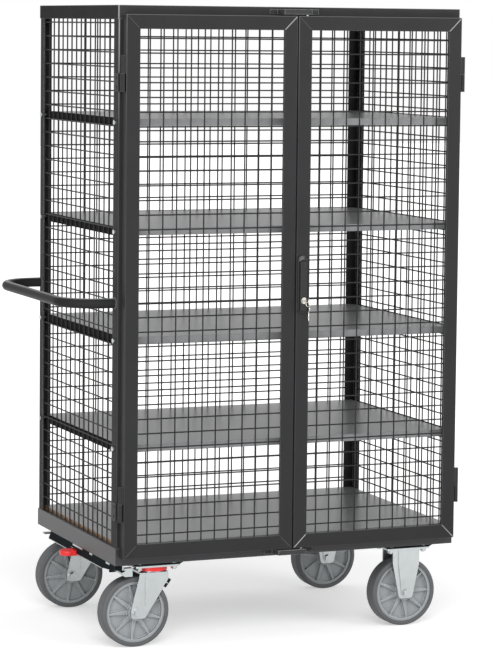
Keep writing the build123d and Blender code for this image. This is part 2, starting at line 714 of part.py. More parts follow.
def bolt_places(side_x, side_y):
    """Bolt middles of one castor plate."""
    return [(side_x * castor_x + i * PLATE_HOLES_X / 2, side_y * castor_y + j * PLATE_HOLES_Y / 2)
            for i in (-1, 1) for j in (-1, 1)]


def castor_plate(side_x, side_y):
    """Rounded top plate with four bolt holes."""
    outline = RectangleRounded(PLATE_L, PLATE_W, PLATE_R)
    plate = Pos(side_x * castor_x, side_y * castor_y, plate_under) * extrude(outline, PLATE_T)
    for x, y in bolt_places(side_x, side_y):
        plate -= bar((x, y, plate_under - CUT), (x, y, CASTOR_H + CUT), CASTOR_BOLT_D + 2 * BOLT_FIT)
    return plate


def castor_bolt(x, y):
    """Flat-headed bolt down through the beam and a castor plate, with its nut."""
    web_top = CASTOR_H + BEAM_T
    head_h = BEAM_H - BEAM_T - SLIDE_GAP
    nut_z = plate_under - CASTOR_NUT_H
    head = bar((x, y, web_top), (x, y, web_top + head_h), CASTOR_HEAD_D)
    shank = bar((x, y, nut_z - CASTOR_BOLT_END), (x, y, web_top + head_h), CASTOR_BOLT_D)
    return head + shank + hex_bar((x, y, nut_z), (x, y, plate_under), CASTOR_BOLT_AF)


def castor_beam():
    """Shallow channel under the right end of the base, with sloped sides, over two castor plates."""
    x0, x1 = castor_x - BEAM_FLAT / 2, castor_x + BEAM_FLAT / 2
    outline = Polyline((x0 - BEAM_SLOPE, base_z), (x0, CASTOR_H), (x1, CASTOR_H), (x1 + BEAM_SLOPE, base_z),
                       close=True)
    beam = upright(make_face(outline), -beam_y, beam_y)
    beam -= block(x0 + BEAM_T, x1 - BEAM_T, -beam_y - CUT, beam_y + CUT, CASTOR_H + BEAM_T, base_z + CUT)
    for side_y in SIDES.values():
        for x, y in bolt_places(1, side_y):
            beam -= bar((x, y, CASTOR_H - CUT), (x, y, base_z), CASTOR_BOLT_D + 2 * BOLT_FIT)
    return beam


def brake_rail():
    """Angle under the handle end of the base, slotted, notched for the pedal, with lugs for the shaft."""
    low = base_z - RAIL_H
    rear = half_d - RAIL_REAR
    flange_z = base_z - RAIL_T
    lip = Polyline((-beam_y, base_z), (-beam_y, base_z - RAIL_NOSE), (RAIL_TAPER - beam_y, low), (rear, low),
                   (rear - RAIL_LEAN, base_z), close=True)
    rail = Pos(-post_x, 0, 0) * extrude(Plane.YZ * make_face(lip), RAIL_T)
    rail += block(-post_x, RAIL_FLANGE - post_x, -beam_y, rear - RAIL_LEAN, flange_z, base_z)
    rail += block(-post_x, RAIL_END_W - post_x, -beam_y, RAIL_T - beam_y, base_z - RAIL_NOSE, base_z)
    for y0, y1 in RAIL_SLOTS:
        rail -= block(-post_x - CUT, RAIL_T - post_x + CUT, y0 - half_d, y1 - half_d,
                      flange_z - RAIL_SLOT_H, flange_z)
    rail -= block(-post_x - CUT, RAIL_T - post_x + CUT, pedal_y0 - PEDAL_CLEAR, pedal_y1 + PEDAL_CLEAR,
                  low - CUT, brake_z + PEDAL_T / 2 + PEDAL_CLEAR)
    for y in lug_ys:
        y0, y1 = y - LUG_T / 2, y + LUG_T / 2
        rail += block(brake_x - LUG_W / 2, brake_x + LUG_W / 2, y0, y1, brake_z - LUG_END, flange_z)
        rail -= bar((brake_x, y0 - CUT, brake_z), (brake_x, y1 + CUT, brake_z), BRAKE_D + 2 * RUN_FIT)
    return rail


def swivel_plate(side_y):
    """Top plate with the bearing cup, the king pin and its nut."""
    x, y = -castor_x, side_y * castor_y
    nut_top = crown_under - SLIDE_GAP
    cup = bar((x, y, cup_under), (x, y, plate_under), CUP_D)
    king = bar((x, y, nut_top - KING_NUT_H), (x, y, plate_under), KING_D)
    nut = hex_bar((x, y, nut_top - KING_NUT_H), (x, y, nut_top), KING_NUT_AF)
    return castor_plate(-1, side_y) + cup + king + nut


def tapered(top, foot):
    """Outline that narrows from a top shape to a foot shape."""
    return make_hull(top.edges() + foot.edges())


def fork_legs(outline, rib, axle_x, y):
    """Pair of legs, each with a raised rib, a raised pad at the axle and the axle's hole."""
    pad = Pos(axle_x, wheel_r) * Circle(RIB_FOOT_R)
    legs = upright(outline, y + leg_in, y + leg_out) + upright(outline, y - leg_out, y - leg_in)
    for raised in (rib, pad):
        legs += upright(raised, y + leg_in, y + rib_out) + upright(raised, y - rib_out, y - leg_in)
    return legs - bar((axle_x, y - rib_out - CUT, wheel_r), (axle_x, y + rib_out + CUT, wheel_r),
                      AXLE_D + 2 * PRESS_FIT)


def swivel_fork(side_y):
    """Fork that turns on the king pin and carries its wheel behind the swivel axis."""
    x, y = -castor_x, side_y * castor_y
    axle_x = x - CASTOR_TRAIL
    x0, x1 = x - FORK_BACK - CROWN_L / 2, x - FORK_BACK + CROWN_L / 2
    rib0, rib1 = axle_x + SWIVEL_RIB_IN, x1 - SWIVEL_RIB_EDGE
    mid_z = crown_top - FORK_STRAIGHT / 2
    crown = block(x0, x1, y - leg_out, y + leg_out, crown_under, crown_top)
    race = bar((x, y, crown_under), (x, y, cup_under - SLIDE_GAP), RACE_D)
    foot = Pos(axle_x + FOOT_AHEAD, wheel_r) * RectangleRounded(FOOT_W, 2 * FOOT_DROP, FOOT_R)
    outline = tapered(Pos((x0 + x1) / 2, mid_z) * Rectangle(CROWN_L, FORK_STRAIGHT), foot)
    rib = tapered(Pos((rib0 + rib1) / 2, mid_z) * Rectangle(rib1 - rib0, FORK_STRAIGHT),
                  Pos(rib0 + SWIVEL_RIB_R, wheel_r + SWIVEL_RIB_UP) * Circle(SWIVEL_RIB_R))
    legs = fork_legs(outline, rib, axle_x, y)
    bore = bar((x, y, crown_under - CUT), (x, y, cup_under), KING_D + 2 * RUN_FIT)
    return crown + race + legs - bore


def fixed_fork(side_y):
    """Fork that is one piece with its top plate."""
    top = Pos(castor_x, plate_under - FIXED_STRAIGHT / 2)
    foot = Pos(castor_x, wheel_r)
    outline = tapered(top * Rectangle(FIXED_LEG_L, FIXED_STRAIGHT),
                      foot * RectangleRounded(FOOT_W, 2 * FOOT_DROP, FOOT_R))
    rib = tapered(top * Rectangle(FIXED_RIB_W, FIXED_STRAIGHT), foot * Circle(RIB_FOOT_R))
    return castor_plate(1, side_y) + fork_legs(outline, rib, castor_x, side_y * castor_y)


def axle(x, y):
    """Bolt through a fork's legs, with its nut."""
    end = rib_out + AXLE_NUT_H + AXLE_END
    shank = bar((x, y - rib_out, wheel_r), (x, y + end, wheel_r), AXLE_D)
    head = hex_bar((x, y - rib_out - AXLE_HEAD_H, wheel_r), (x, y - rib_out, wheel_r), AXLE_AF)
    nut = hex_bar((x, y + rib_out, wheel_r), (x, y + rib_out + AXLE_NUT_H, wheel_r), AXLE_AF)
    return shank + head + nut


# Wheels, modelled round the Y axis

def tyre():
    """Solid tyre with rounded shoulders."""
    ring = tube(2 * wheel_r, 2 * rim_r, -TYRE_W / 2, TYRE_W / 2)
    shoulders = ring.edges().filter_by(GeomType.CIRCLE).sort_by(SortBy.RADIUS)[-2:]
    return fillet(shoulders, TYRE_R)


def rim(turn):
    """Rim wall, web and hub with tapered ribs, turned about the axle, and seats for two bearings."""
    inner_r = rim_r - RIM_T
    wheel = tube(2 * (rim_r - PRESS_FIT), 2 * inner_r, -RIM_W / 2, RIM_W / 2)
    wheel += tube(2 * inner_r + RIB_ROOT, HUB_D - RIB_ROOT, -WEB_T / 2, WEB_T / 2)
    wheel += tube(HUB_D, HUB_BORE_D, -HUB_W / 2, HUB_W / 2)
    hub_end, rim_end = HUB_D / 2 - RIB_ROOT, inner_r + RIB_ROOT
    outline = Polyline((hub_end, -RIB_HUB_T / 2), (rim_end, -RIB_T / 2), (rim_end, RIB_T / 2),
                       (hub_end, RIB_HUB_T / 2), close=True)
    rib = upright(make_face(outline), -RIB_W / 2, RIB_W / 2)
    for i in range(RIB_COUNT):
        wheel += Rot(0, -turn - i * 360 / RIB_COUNT, 0) * rib
    seat_y = HUB_W / 2 - BEARING_W
    for side in (-1, 1):
        wheel -= bar((0, side * seat_y, 0), (0, side * (HUB_W / 2 + CUT), 0), BEARING_D + 2 * PRESS_FIT)
    return wheel


def bearings():
    """Pair of bearings in the hub, each with a sleeve that spaces it from the fork."""
    bore = AXLE_D + 2 * RUN_FIT
    seat_y = HUB_W / 2 - BEARING_W
    pair = []
    for side in (-1, 1):
        y0, y1, y2 = sorted((side * seat_y, side * HUB_W / 2, side * (leg_in - SLIDE_GAP)))
        sleeve = tube(SLEEVE_D, bore, y0, y2)
        body = tube(BEARING_D, bore, *((y0, y1) if side > 0 else (y1, y2)))
        pair.append(body + sleeve)
    return pair


# Brake

def brake_shaft():
    """Cross shaft with a cam block at each castor, the rear one with a flat tip."""
    shaft = bar((brake_x, cam_front - CAM_T, brake_z), (brake_x, cam_rear, brake_z), BRAKE_D)
    for y in (cam_front, cam_rear):
        shaft += block(brake_x + CAM_IN[0], brake_x + CAM_IN[1], y - CAM_T, y, brake_z + CAM_UP[0],
                       brake_z + CAM_UP[1])
    tongue_z = brake_z + TONGUE_UP
    return shaft + block(brake_x - TONGUE_L, brake_x + CAM_IN[1], cam_rear - CAM_T, cam_rear,
                         tongue_z - TONGUE_T, tongue_z)


def brake_pedal():
    """Flat pedal on a hub that is fixed to the shaft."""
    tip = -half_w - PEDAL_OUT
    pad = block(tip, brake_x, pedal_y0, pedal_y1, brake_z - PEDAL_T / 2, brake_z + PEDAL_T / 2)
    corners = pad.edges().filter_by(Axis.Z).group_by(Axis.X)[0]
    pad = fillet(corners, PEDAL_R)
    hub = bar((brake_x, pedal_y0, brake_z), (brake_x, pedal_y1, brake_z), PEDAL_HUB_D)
    return pad + hub - bar((brake_x, pedal_y0 - CUT, brake_z), (brake_x, pedal_y1 + CUT, brake_z),
                           BRAKE_D + 2 * PRESS_FIT)


def brake_collar(side_y):
    """Ring that slides down the bearing cup towards the fork crown."""
    x, y = -castor_x, side_y * castor_y
    top = plate_under - COLLAR_GAP
    bore = CUP_D + 2 * RUN_FIT
    ring = bar((x, y, top - COLLAR_H), (x, y, top), bore + 2 * COLLAR_WALL)
    return ring - bar((x, y, top - COLLAR_H - CUT), (x, y, top + CUT), bore)


# Write the nodes

os.makedirs("parts", exist_ok=True)

save("base_frame", *base_frame())
save("roof_panel", roof_panel())
save("floor_panel", floor_panel())
save("mesh_left", *side_mesh(-1))
save("mesh_right", *side_mesh(1))
save("mesh_back", *back_mesh())
for side_name, side_y in SIDES.items():
    save(f"post_{side_name}_left", post(-1, side_y))
    save(f"post_{side_name}_right", post(1, side_y))
for number, top in enumerate(shelf_tops, 1):
    save(f"shelf_{number}", shelf(top))
right_bars = [shelf_bar(top, z) for top, z in zip(shelf_tops, bolt_zs())]
save("shelf_bars", *right_bars, *[handed(angle) for angle in right_bars])
save("push_handle", push_handle())

right_bolts = [shelf_bolt(y, z) for z in bolt_zs() for y in (-bolt_y, bolt_y)]
castor_bolts = [castor_bolt(x, y) for side_x in (-1, 1) for side_y in SIDES.values()
                for x, y in bolt_places(side_x, side_y)]
save("frame_bolts", *right_bolts, *[handed(bolt) for bolt in right_bolts], *castor_bolts)

save("door_left_frame", *[handed(rail) for rail in door_frame()])
save("door_right_frame", *lock_door_frame())
right_mesh = door_mesh()
save("door_left_mesh", *[handed(wire) for wire in right_mesh])
save("door_right_mesh", *right_mesh)
right_brackets = [hinge_bracket(z) for z in hinge_zs]
right_knuckles = [hinge_knuckle(z) for z in hinge_zs]
save("hinge_brackets", *right_brackets, *[handed(bracket) for bracket in right_brackets])
save("door_left_hinges", *[handed(knuckle) for knuckle in right_knuckles])
save("door_right_hinges", *right_knuckles)

save("lock_dish", lock_dish())
save("lock_spindle", lock_spindle())
save("lock_lever", lock_lever())
save("lock_cylinder", lock_cylinder())
save("key", key())
save("key_ring", key_ring(), spare_key())
save("rod_top", rod_top())
save("rod_bottom", rod_bottom())
save("rod_guides", *rod_guides())
save("rod_keepers", keeper(rod_top_z + KEEPER_GAP), keeper(rod_bottom_z - KEEPER_GAP - KEEPER_H))

right_beam = castor_beam()
save("under_frame", right_beam, handed(right_beam), brake_rail())
save("fixed_axles", *[axle(castor_x, side_y * castor_y) for side_y in SIDES.values()])
wheel_xs = {"left": -castor_x - CASTOR_TRAIL, "right": castor_x}
one_tyre, one_pair = tyre(), bearings()
for side_name, side_y in SIDES.items():
    save(f"swivel_plate_{side_name}", swivel_plate(side_y))
    save(f"swivel_fork_{side_name}", swivel_fork(side_y))
    save(f"swivel_axle_{side_name}", axle(wheel_xs["left"], side_y * castor_y))
    save(f"fixed_fork_{side_name}", fixed_fork(side_y))
    save(f"brake_collar_{side_name}", brake_collar(side_y))
    for end_name, wheel_x in wheel_xs.items():
        corner = f"{side_name}_{end_name}"
        place = Pos(wheel_x, side_y * castor_y, wheel_r)
        save(f"tyre_{corner}", place * one_tyre)
        save(f"rim_{corner}", place * rim(RIM_TURNS[corner]))
        save(f"bearings_{corner}", *[place * bearing for bearing in one_pair])

save("brake_shaft", brake_shaft())
save("brake_pedal", brake_pedal())
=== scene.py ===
import json
import math

import bmesh
import bpy
from mathutils import Matrix, Vector


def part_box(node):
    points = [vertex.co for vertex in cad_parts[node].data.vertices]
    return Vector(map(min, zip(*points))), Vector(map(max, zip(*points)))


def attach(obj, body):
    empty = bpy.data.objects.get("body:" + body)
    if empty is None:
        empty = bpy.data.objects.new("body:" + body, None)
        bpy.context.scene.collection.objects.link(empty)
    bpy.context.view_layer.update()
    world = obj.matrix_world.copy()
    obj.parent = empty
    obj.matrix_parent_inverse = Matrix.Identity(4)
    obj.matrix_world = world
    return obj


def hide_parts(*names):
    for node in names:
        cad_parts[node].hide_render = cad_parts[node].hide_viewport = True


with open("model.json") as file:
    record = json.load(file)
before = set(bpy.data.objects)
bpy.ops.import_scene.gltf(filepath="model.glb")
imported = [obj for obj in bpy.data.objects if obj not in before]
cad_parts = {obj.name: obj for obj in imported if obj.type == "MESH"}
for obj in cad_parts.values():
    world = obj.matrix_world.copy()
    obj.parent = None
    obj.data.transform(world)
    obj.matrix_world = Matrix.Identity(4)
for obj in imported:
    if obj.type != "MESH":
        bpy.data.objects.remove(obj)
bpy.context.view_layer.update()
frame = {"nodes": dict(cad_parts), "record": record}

MM = 0.001


# Camera, in the photograph's frame of 493 x 651 pixels

IMAGE_H = 651
SENSOR = 36.0
FOCAL_PX = 2746.8
SHIFT_PX = -65.0
CAMERA_AT = Vector((-3.077, -7.455, 1.746))
CAMERA_YAW = 0.3922         # towards +X, radians
CAMERA_PITCH = 0.0852       # downwards
CAMERA_ROLL = -0.0102


def place_camera():
    """Camera at the photograph's viewing angle, left of the doors and level with the roof."""
    lens = bpy.data.cameras.new("photo_camera")
    lens.sensor_width = SENSOR
    lens.lens = FOCAL_PX / IMAGE_H * SENSOR
    lens.shift_y = SHIFT_PX / IMAGE_H
    camera = bpy.data.objects.new("photo_camera", lens)
    bpy.context.collection.objects.link(camera)
    level = math.cos(CAMERA_PITCH)
    ahead = Vector((math.sin(CAMERA_YAW) * level, math.cos(CAMERA_YAW) * level,
                    -math.sin(CAMERA_PITCH)))
    right = Vector((math.cos(CAMERA_YAW), -math.sin(CAMERA_YAW), 0))
    down = ahead.cross(right)
    c, s = math.cos(CAMERA_ROLL), math.sin(CAMERA_ROLL)
    right, down = c * right + s * down, c * down - s * right
    turn = Matrix((right, -down, -ahead)).transposed().to_4x4()
    camera.matrix_world = Matrix.Translation(CAMERA_AT) @ turn
    bpy.context.scene.camera = camera


# Materials

def linear(code):
    """Linear colour of an sRGB hex value."""
    parts = [int(code[i:i + 2], 16) / 255 for i in (1, 3, 5)]
    return (*[p / 12.92 if p <= 0.04045 else ((p + 0.055) / 1.055) ** 2.4 for p in parts], 1.0)


def per(size):
    """Pattern scale for features of that size in millimetres."""
    return 1 / (size * MM)


def fill(tree, made, inputs):
    """Give a node's inputs their values or links."""
    for name, value in inputs.items():
        if isinstance(value, bpy.types.NodeSocket):
            tree.links.new(value, made.inputs[name])
        else:
            made.inputs[name].default_value = value


def add(tree, kind, inputs, **settings):
    """New node with its settings, values and links."""
    made = tree.nodes.new("ShaderNode" + kind)
    for name, value in settings.items():
        setattr(made, name, value)
    fill(tree, made, inputs)
    return made


def blank(name):
    """New material, its node tree, its surface shader and the coordinates on the piece."""
    finish = bpy.data.materials.new(name)
    finish.use_nodes = True
    tree = finish.node_tree
    place = add(tree, "TexCoord", {})
    return finish, tree, tree.nodes["Principled BSDF"], place


def edge_highlight_and_grain(tree, skin, tone, edge_tone, edge_size, grain, smooth, rough, depth):
    """What every finish shares: paler edges as a painted highlight, a polish that varies and a fine relief.

    The edge's width and the relief's depth are in millimetres; smooth and rough are the polish's two ends.
    """
    rounded = add(tree, "Bevel", {"Radius": edge_size * MM}, samples=4)
    flat = add(tree, "NewGeometry", {})
    turned_off = add(tree, "VectorMath", {0: rounded.outputs[0], 1: flat.outputs["Normal"]},
                     operation="DOT_PRODUCT")
    # where the rounded normal turns away from the face's own, the tone goes paler: a painted highlight on
    # every edge
    edge = add(tree, "MapRange", {"Value": turned_off.outputs["Value"], "From Min": 0.99, "From Max": 0.8})
    colour = add(tree, "Mix", {0: edge.outputs[0], 6: tone, 7: linear(edge_tone)}, data_type="RGBA")
    gloss = add(tree, "MapRange", {"Value": grain, "To Min": smooth, "To Max": rough})
    relief = add(tree, "Bump", {"Height": grain, "Strength": 0.15, "Distance": depth * MM,
                                "Normal": rounded.outputs[0]})
    fill(tree, skin, {"Base Color": colour.outputs[2], "Roughness": gloss.outputs[0],
                      "Normal": relief.outputs[0]})


FLAT = 0.97                 # a normal with this much along an axis is on a flat face
BENT = 0.8                  # one with this much or less is well round a bend
BEND_HIGHLIGHT_FROM_Z = 1.45          # height from which the painted highlight on bends grows, in metres
BEND_HIGHLIGHT_TO_Z = 1.75            # height from which it is at full strength


def painted_bend_highlight(tree, place):
    """1 where folded sheet is bent round a corner near the roof, fading to little a shelf lower: the mask of
    a painted highlight.
    """
    facing = add(tree, "VectorMath", {0: place.outputs["Normal"]}, operation="ABSOLUTE")
    along = add(tree, "SeparateXYZ", {0: facing.outputs[0]})
    level = add(tree, "Math", {0: along.outputs["X"], 1: along.outputs["Y"]}, operation="MAXIMUM")
    squared = add(tree, "Math", {0: level.outputs[0], 1: along.outputs["Z"]}, operation="MAXIMUM")
    where = add(tree, "SeparateXYZ", {0: place.outputs["Object"]})
    reach = add(tree, "MapRange", {"Value": where.outputs["Z"], "From Min": BEND_HIGHLIGHT_FROM_Z,
                                   "From Max": BEND_HIGHLIGHT_TO_Z, "To Min": 0.1})
    return add(tree, "MapRange", {"Value": squared.outputs[0], "From Min": FLAT, "From Max": BENT,
                                  "To Max": reach.outputs[0]}).outputs[0]


def painted_top_highlight(tree, place):
    """1 along the upper side of a tube, where a painted highlight goes."""
    along = add(tree, "SeparateXYZ", {0: place.outputs["Normal"]})
    return add(tree, "MapRange", {"Value": along.outputs["Z"], "From Min": BENT, "From Max": FLAT}).outputs[0]


def powder_coat(name, dark, light, edge, smooth, rough, shine, highlight_mask=None):
    """Powder, dip coat or enamel baked on steel: an even skin with drifts of tone and a fine orange peel."""
    finish, tree, skin, place = blank(name)
    at = place.outputs["Object"]
    drift = add(tree, "TexNoise", {"Vector": at, "Scale": per(110), "Detail": 3.0})
    # real orange peel is about 0.8 mm across and is drawn three times as coarse to show
    peel = add(tree, "TexNoise", {"Vector": at, "Scale": per(2.5), "Detail": 2.0})
    tone = add(tree, "Mix", {0: drift.outputs["Fac"], 6: linear(dark), 7: linear(light)}, data_type="RGBA")
    # where the mask is 1 the tone turns to the edge tone: a painted highlight
    if highlight_mask:
        highlight = highlight_mask(tree, place)
        tone = add(tree, "Mix", {0: highlight, 6: tone.outputs[2], 7: linear(edge)}, data_type="RGBA")
    edge_highlight_and_grain(tree, skin, tone.outputs[2], edge, edge_size=2.2, grain=peel.outputs["Fac"],
                   smooth=smooth, rough=rough, depth=0.3)
    fill(tree, skin, {"Specular IOR Level": shine})
    return finish


def coated_board():
    """Chipboard with a grey melamine face: smooth grey on top, brown pressed chips at the two sawn ends."""
    finish, tree, skin, place = blank("melamine_faced_chipboard")
    at = place.outputs["Object"]
    facing = add(tree, "SeparateXYZ", {0: place.outputs["Normal"]})
    endwise = add(tree, "Math", {0: facing.outputs["X"]}, operation="ABSOLUTE")
    sawn = add(tree, "Math", {0: endwise.outputs[0], 1: 0.5}, operation="GREATER_THAN")
    chips = add(tree, "TexVoronoi", {"Vector": at, "Scale": per(6)})
    drift = add(tree, "TexNoise", {"Vector": at, "Scale": per(160), "Detail": 3.0})
    grain = add(tree, "TexNoise", {"Vector": at, "Scale": per(2)})
    wood = add(tree, "Mix", {0: chips.outputs["Color"], 6: linear("#46321f"), 7: linear("#a07a54")},
               data_type="RGBA")
    grey = add(tree, "Mix", {0: drift.outputs["Fac"], 6: linear("#737475"), 7: linear("#808182")},
               data_type="RGBA")
    tone = add(tree, "Mix", {0: sawn.outputs[0], 6: grey.outputs[2], 7: wood.outputs[2]}, data_type="RGBA")
    edge_highlight_and_grain(tree, skin, tone.outputs[2], "#77736c", edge_size=0.6, grain=grain.outputs["Fac"],
                   smooth=0.26, rough=0.36, depth=0.1)
    return finish


def plated(name, pale, deep, edge, smooth, rough, cell):
    """Electroplated steel: a bright metal skin whose cells differ a little in tone and polish."""
    finish, tree, skin, place = blank(name)
    at = place.outputs["Object"]
    cells = add(tree, "TexNoise", {"Vector": at, "Scale": per(cell), "Detail": 3.0})
    fine = add(tree, "TexNoise", {"Vector": at, "Scale": per(cell / 8), "Detail": 2.0})
    tone = add(tree, "Mix", {0: cells.outputs["Fac"], 6: linear(deep), 7: linear(pale)}, data_type="RGBA")
    edge_highlight_and_grain(tree, skin, tone.outputs[2], edge, edge_size=0.8, grain=fine.outputs["Fac"],
                   smooth=smooth, rough=rough, depth=0.1)
    fill(tree, skin, {"Metallic": 1.0})
    return finish


def moulded(name, dark, light, edge, smooth, rough, grain, edge_size=1.2):
    """Moulded plastic or rubber: tone that drifts with the flow of the melt and a fine spark-eroded grain."""
    finish, tree, skin, place = blank(name)
    at = place.outputs["Object"]
    flow = add(tree, "TexNoise", {"Vector": at, "Scale": per(35), "Detail": 4.0, "Distortion": 0.6})
    pores = add(tree, "TexNoise", {"Vector": at, "Scale": per(grain), "Detail": 2.0})
    tone = add(tree, "Mix", {0: flow.outputs["Fac"], 6: linear(dark), 7: linear(light)}, data_type="RGBA")
    edge_highlight_and_grain(tree, skin, tone.outputs[2], edge, edge_size=edge_size, grain=pores.outputs["Fac"],
                   smooth=smooth, rough=rough, depth=0.3)
    return finish


# Finishes: name, two tones that drift, tone of the painted edge highlight, roughness from and to, then shine,
# cell or grain size

FINISHES = {
    # anthracite polyester on hinges, brackets and other small parts: near black, with paler edges as a
    # painted highlight
    "powder_coat": powder_coat("anthracite_powder_coat", "#2d2d2e", "#343435", "#6c6c6d", 0.3, 0.44, 0.06),
    # light grey polyester on the shelf trays: smooth enough to catch the wires' reflections
    "shelf_grey": powder_coat("grey_powder_coat", "#727374", "#7d7e7f", "#a4a5a6", 0.27, 0.36, 0.46),
    # black electro-dip on the castor beams and brake rail: flat, a little green
    "beam_dark": powder_coat("black_dip_coat", "#14181a", "#1b2022", "#5c6365", 0.55, 0.7, 0.01),
    # satin black enamel on the lock: as dark as the doors but smoother
    "lock_black": powder_coat("black_lock_enamel", "#2a2a2b", "#323233", "#606061", 0.24, 0.34, 0.12),
    "floor_board": coated_board(),
    # satin zinc on stamped castor forks, plates, bolts and rods: cool, pale, softly mottled
    "zinc": plated("satin_zinc_plate", "#bcc0c1", "#aaafb0", "#d6d9da", 0.24, 0.36, 26),
    # ground rolling-bearing steel: a shade darker and sharper than the zinc
    "bearing_steel": plated("ground_bearing_steel", "#b9babb", "#a6a8aa", "#d0d1d2", 0.18, 0.28, 6),
    # nickel on the lock cylinder, keys and ring: bright, faintly yellow
    "nickel": plated("nickel_plate", "#d9d7d2", "#bfbbb3", "#efece6", 0.12, 0.24, 8),
    # solid grey rubber tread: dull, with a slightly paler shoulder as a painted highlight
    "tyre_rubber": moulded("grey_tyre_rubber", "#484a4c", "#545658", "#6a6c6e", 0.5, 0.7, 1.5),
    # grey polypropylene wheel body: pale and waxy, painted lighter along the ribs and ring as a painted
    # highlight
    "rim_plastic": moulded("grey_polypropylene", "#868a8d", "#939799", "#e4e6e7", 0.36, 0.48, 1.2, 2.0),
    # red nylon on the pedal and castor collars: saturated and half glossy
    "brake_red": moulded("red_nylon", "#de1c22", "#ea282b", "#f4585a", 0.3, 0.42, 1.2),
}
# the same anthracite powder on folded sheet, painted paler where the sheet is bent round a corner, as a
# painted highlight
SHEET_COAT = powder_coat("anthracite_powder_on_folded_sheet", "#2a2a2b", "#303031", "#969697", 0.32, 0.46,
                         0.02, painted_bend_highlight)
# the same on the roof sheet: matt, a shade lighter as painted light on its front strip, with the painted
# highlight on its bends
ROOF_COAT = powder_coat("matt_anthracite_powder_on_roof", "#363637", "#3d3d3e", "#969697", 0.6, 0.74,
                        0.0, painted_bend_highlight)
# the same on the doors' angle, with a fainter painted highlight on its bends than the sheet round it
DOOR_COAT = powder_coat("anthracite_powder_on_door_angle", "#2b2b2c", "#313132", "#747475", 0.3, 0.44,
                        0.06, painted_bend_highlight)
# the same on the keepers, painted pale along their edges as a painted highlight
KEEPER_COAT = powder_coat("anthracite_powder_with_painted_edge_highlight", "#343435", "#404041", "#b4b4b5", 0.3, 0.44, 0.06)
# the same on the base rails, polished by boots and knocks so that they mirror the floor
RAIL_COAT = powder_coat("scuffed_anthracite_powder", "#303031", "#38383a", "#808081", 0.28, 0.4,
                        0.28, painted_bend_highlight)
# the same on the handle's tube, painted pale along its top as a painted highlight
TUBE_COAT = powder_coat("anthracite_powder_with_painted_top_highlight", "#272728", "#2d2d2e", "#8a8a8b", 0.26, 0.38,
                        0.02, painted_top_highlight)
# the same on the rolled shelf bars behind the mesh: matt, and painted dark as painted shade
BAR_COAT = powder_coat("matt_anthracite_powder", "#18181a", "#1e1e20", "#343436", 0.5, 0.64, 0.02)
# weld beads under the powder, painted paler than the sheet beside them as a painted glint
WELD_COAT = powder_coat("powder_on_weld_with_painted_glint", "#3c3c3d", "#525253", "#6a6a6b", 0.3, 0.42, 0.12)
# a bead left proud of the door, painted paler still as a brighter painted glint
PROUD_WELD_COAT = powder_coat("powder_on_proud_weld_with_painted_glint", "#6a6a6b", "#9c9c9d", "#c4c4c5", 0.26, 0.38, 0.2)
# the same anthracite powder on thin drawn wire, with only a faint painted edge highlight
WIRE_COAT = powder_coat("anthracite_powder_on_wire", "#2a2a2b", "#323233", "#3c3c3d", 0.32, 0.46, 0.06)
# lock enamel painted lighter on the hood over the lever, as a painted highlight
HOOD_ENAMEL = powder_coat("lock_enamel_with_painted_highlight", "#4c4c4d", "#5e5e5f", "#8a8a8b", 0.22, 0.32, 0.5)


OWN_COAT = {"mesh": WIRE_COAT, "post": SHEET_COAT, "roof": ROOF_COAT, "base": RAIL_COAT,
            "push_handle": TUBE_COAT, "shelf_bars": BAR_COAT, "left_frame": DOOR_COAT,
            "right_frame": DOOR_COAT, "rod_keepers": KEEPER_COAT}


def dress_nodes():
    """Every CAD node takes the finish of its record slot, or its own cut of the anthracite powder."""
    for part in frame["record"]["subparts"]:
        finish = FINISHES[part["material_slot"]]
        for word, coat in OWN_COAT.items():
            if word in part["node"]:
                finish = coat
        shown = frame["nodes"][part["node"]].data.materials
        shown.clear()
        shown.append(finish)


# Shapes of the added pieces, in millimetres

def corners(node):
    """Lowest and highest corner of a CAD node in millimetres."""
    low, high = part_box(node)
    return Vector(low) / MM, Vector(high) / MM


def ring(at, axis, radius, count=14, ripple=0.0, waves=0):
    """Points of a circle round an axis, rippled if asked."""
    turn = Vector(axis).to_track_quat("Z", "Y")
    points = []
    for i in range(count):
        angle = 2 * math.pi * i / count
        size = radius + ripple * math.sin(waves * angle)
        points.append(Vector(at) + turn @ Vector((size * math.cos(angle), size * math.sin(angle), 0)))
    return points


def turned(at, axis, profile, **shape):
    """Rings of a turned shape, from (distance along the axis, radius) pairs."""
    step = Vector(axis).normalized()
    return [ring(Vector(at) + out * step, axis, radius, **shape) for out, radius in profile]


def bead(start, end, radius, pitch):
    """Rings of a straight weld bead with a ripple at every pitch and tapered ends."""
    run = end - start
    steps = 4 * round(run.length / pitch)
    rings = []
    for i in range(steps + 1):
        swell = 0.84 + 0.16 * abs(math.sin(math.pi * i / 4))
        taper = min(1, 0.5 + i / 8, 0.5 + (steps - i) / 8)
        rings.append(ring(start + run * i / steps, run, radius * swell * taper, count=10))
    return rings


def piece(name, shells, slot, body, finish=None):
    """One named piece lofted through rings of points, carried by a body and painted with the given finish, or
    else with its record slot's finish.
    """
    skin = bmesh.new()
    for rings in shells:
        loops = [[skin.verts.new(point * MM) for point in points] for points in rings]
        for low, high in zip(loops, loops[1:]):
            for i in range(len(low)):
                skin.faces.new((low[i - 1], low[i], high[i], high[i - 1]))
        skin.faces.new(loops[0])
        skin.faces.new(loops[-1])
    bmesh.ops.recalc_face_normals(skin, faces=skin.faces)
    mesh = bpy.data.meshes.new(name)
    skin.to_mesh(mesh)
    skin.free()
    mesh.shade_smooth()
    mesh.set_sharp_from_angle(angle=math.radians(40))
    mesh.materials.append(finish or FINISHES[slot])
    made = bpy.data.objects.new(name, mesh)
    bpy.context.collection.objects.link(made)
    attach(made, body)
    return made


# Added pieces

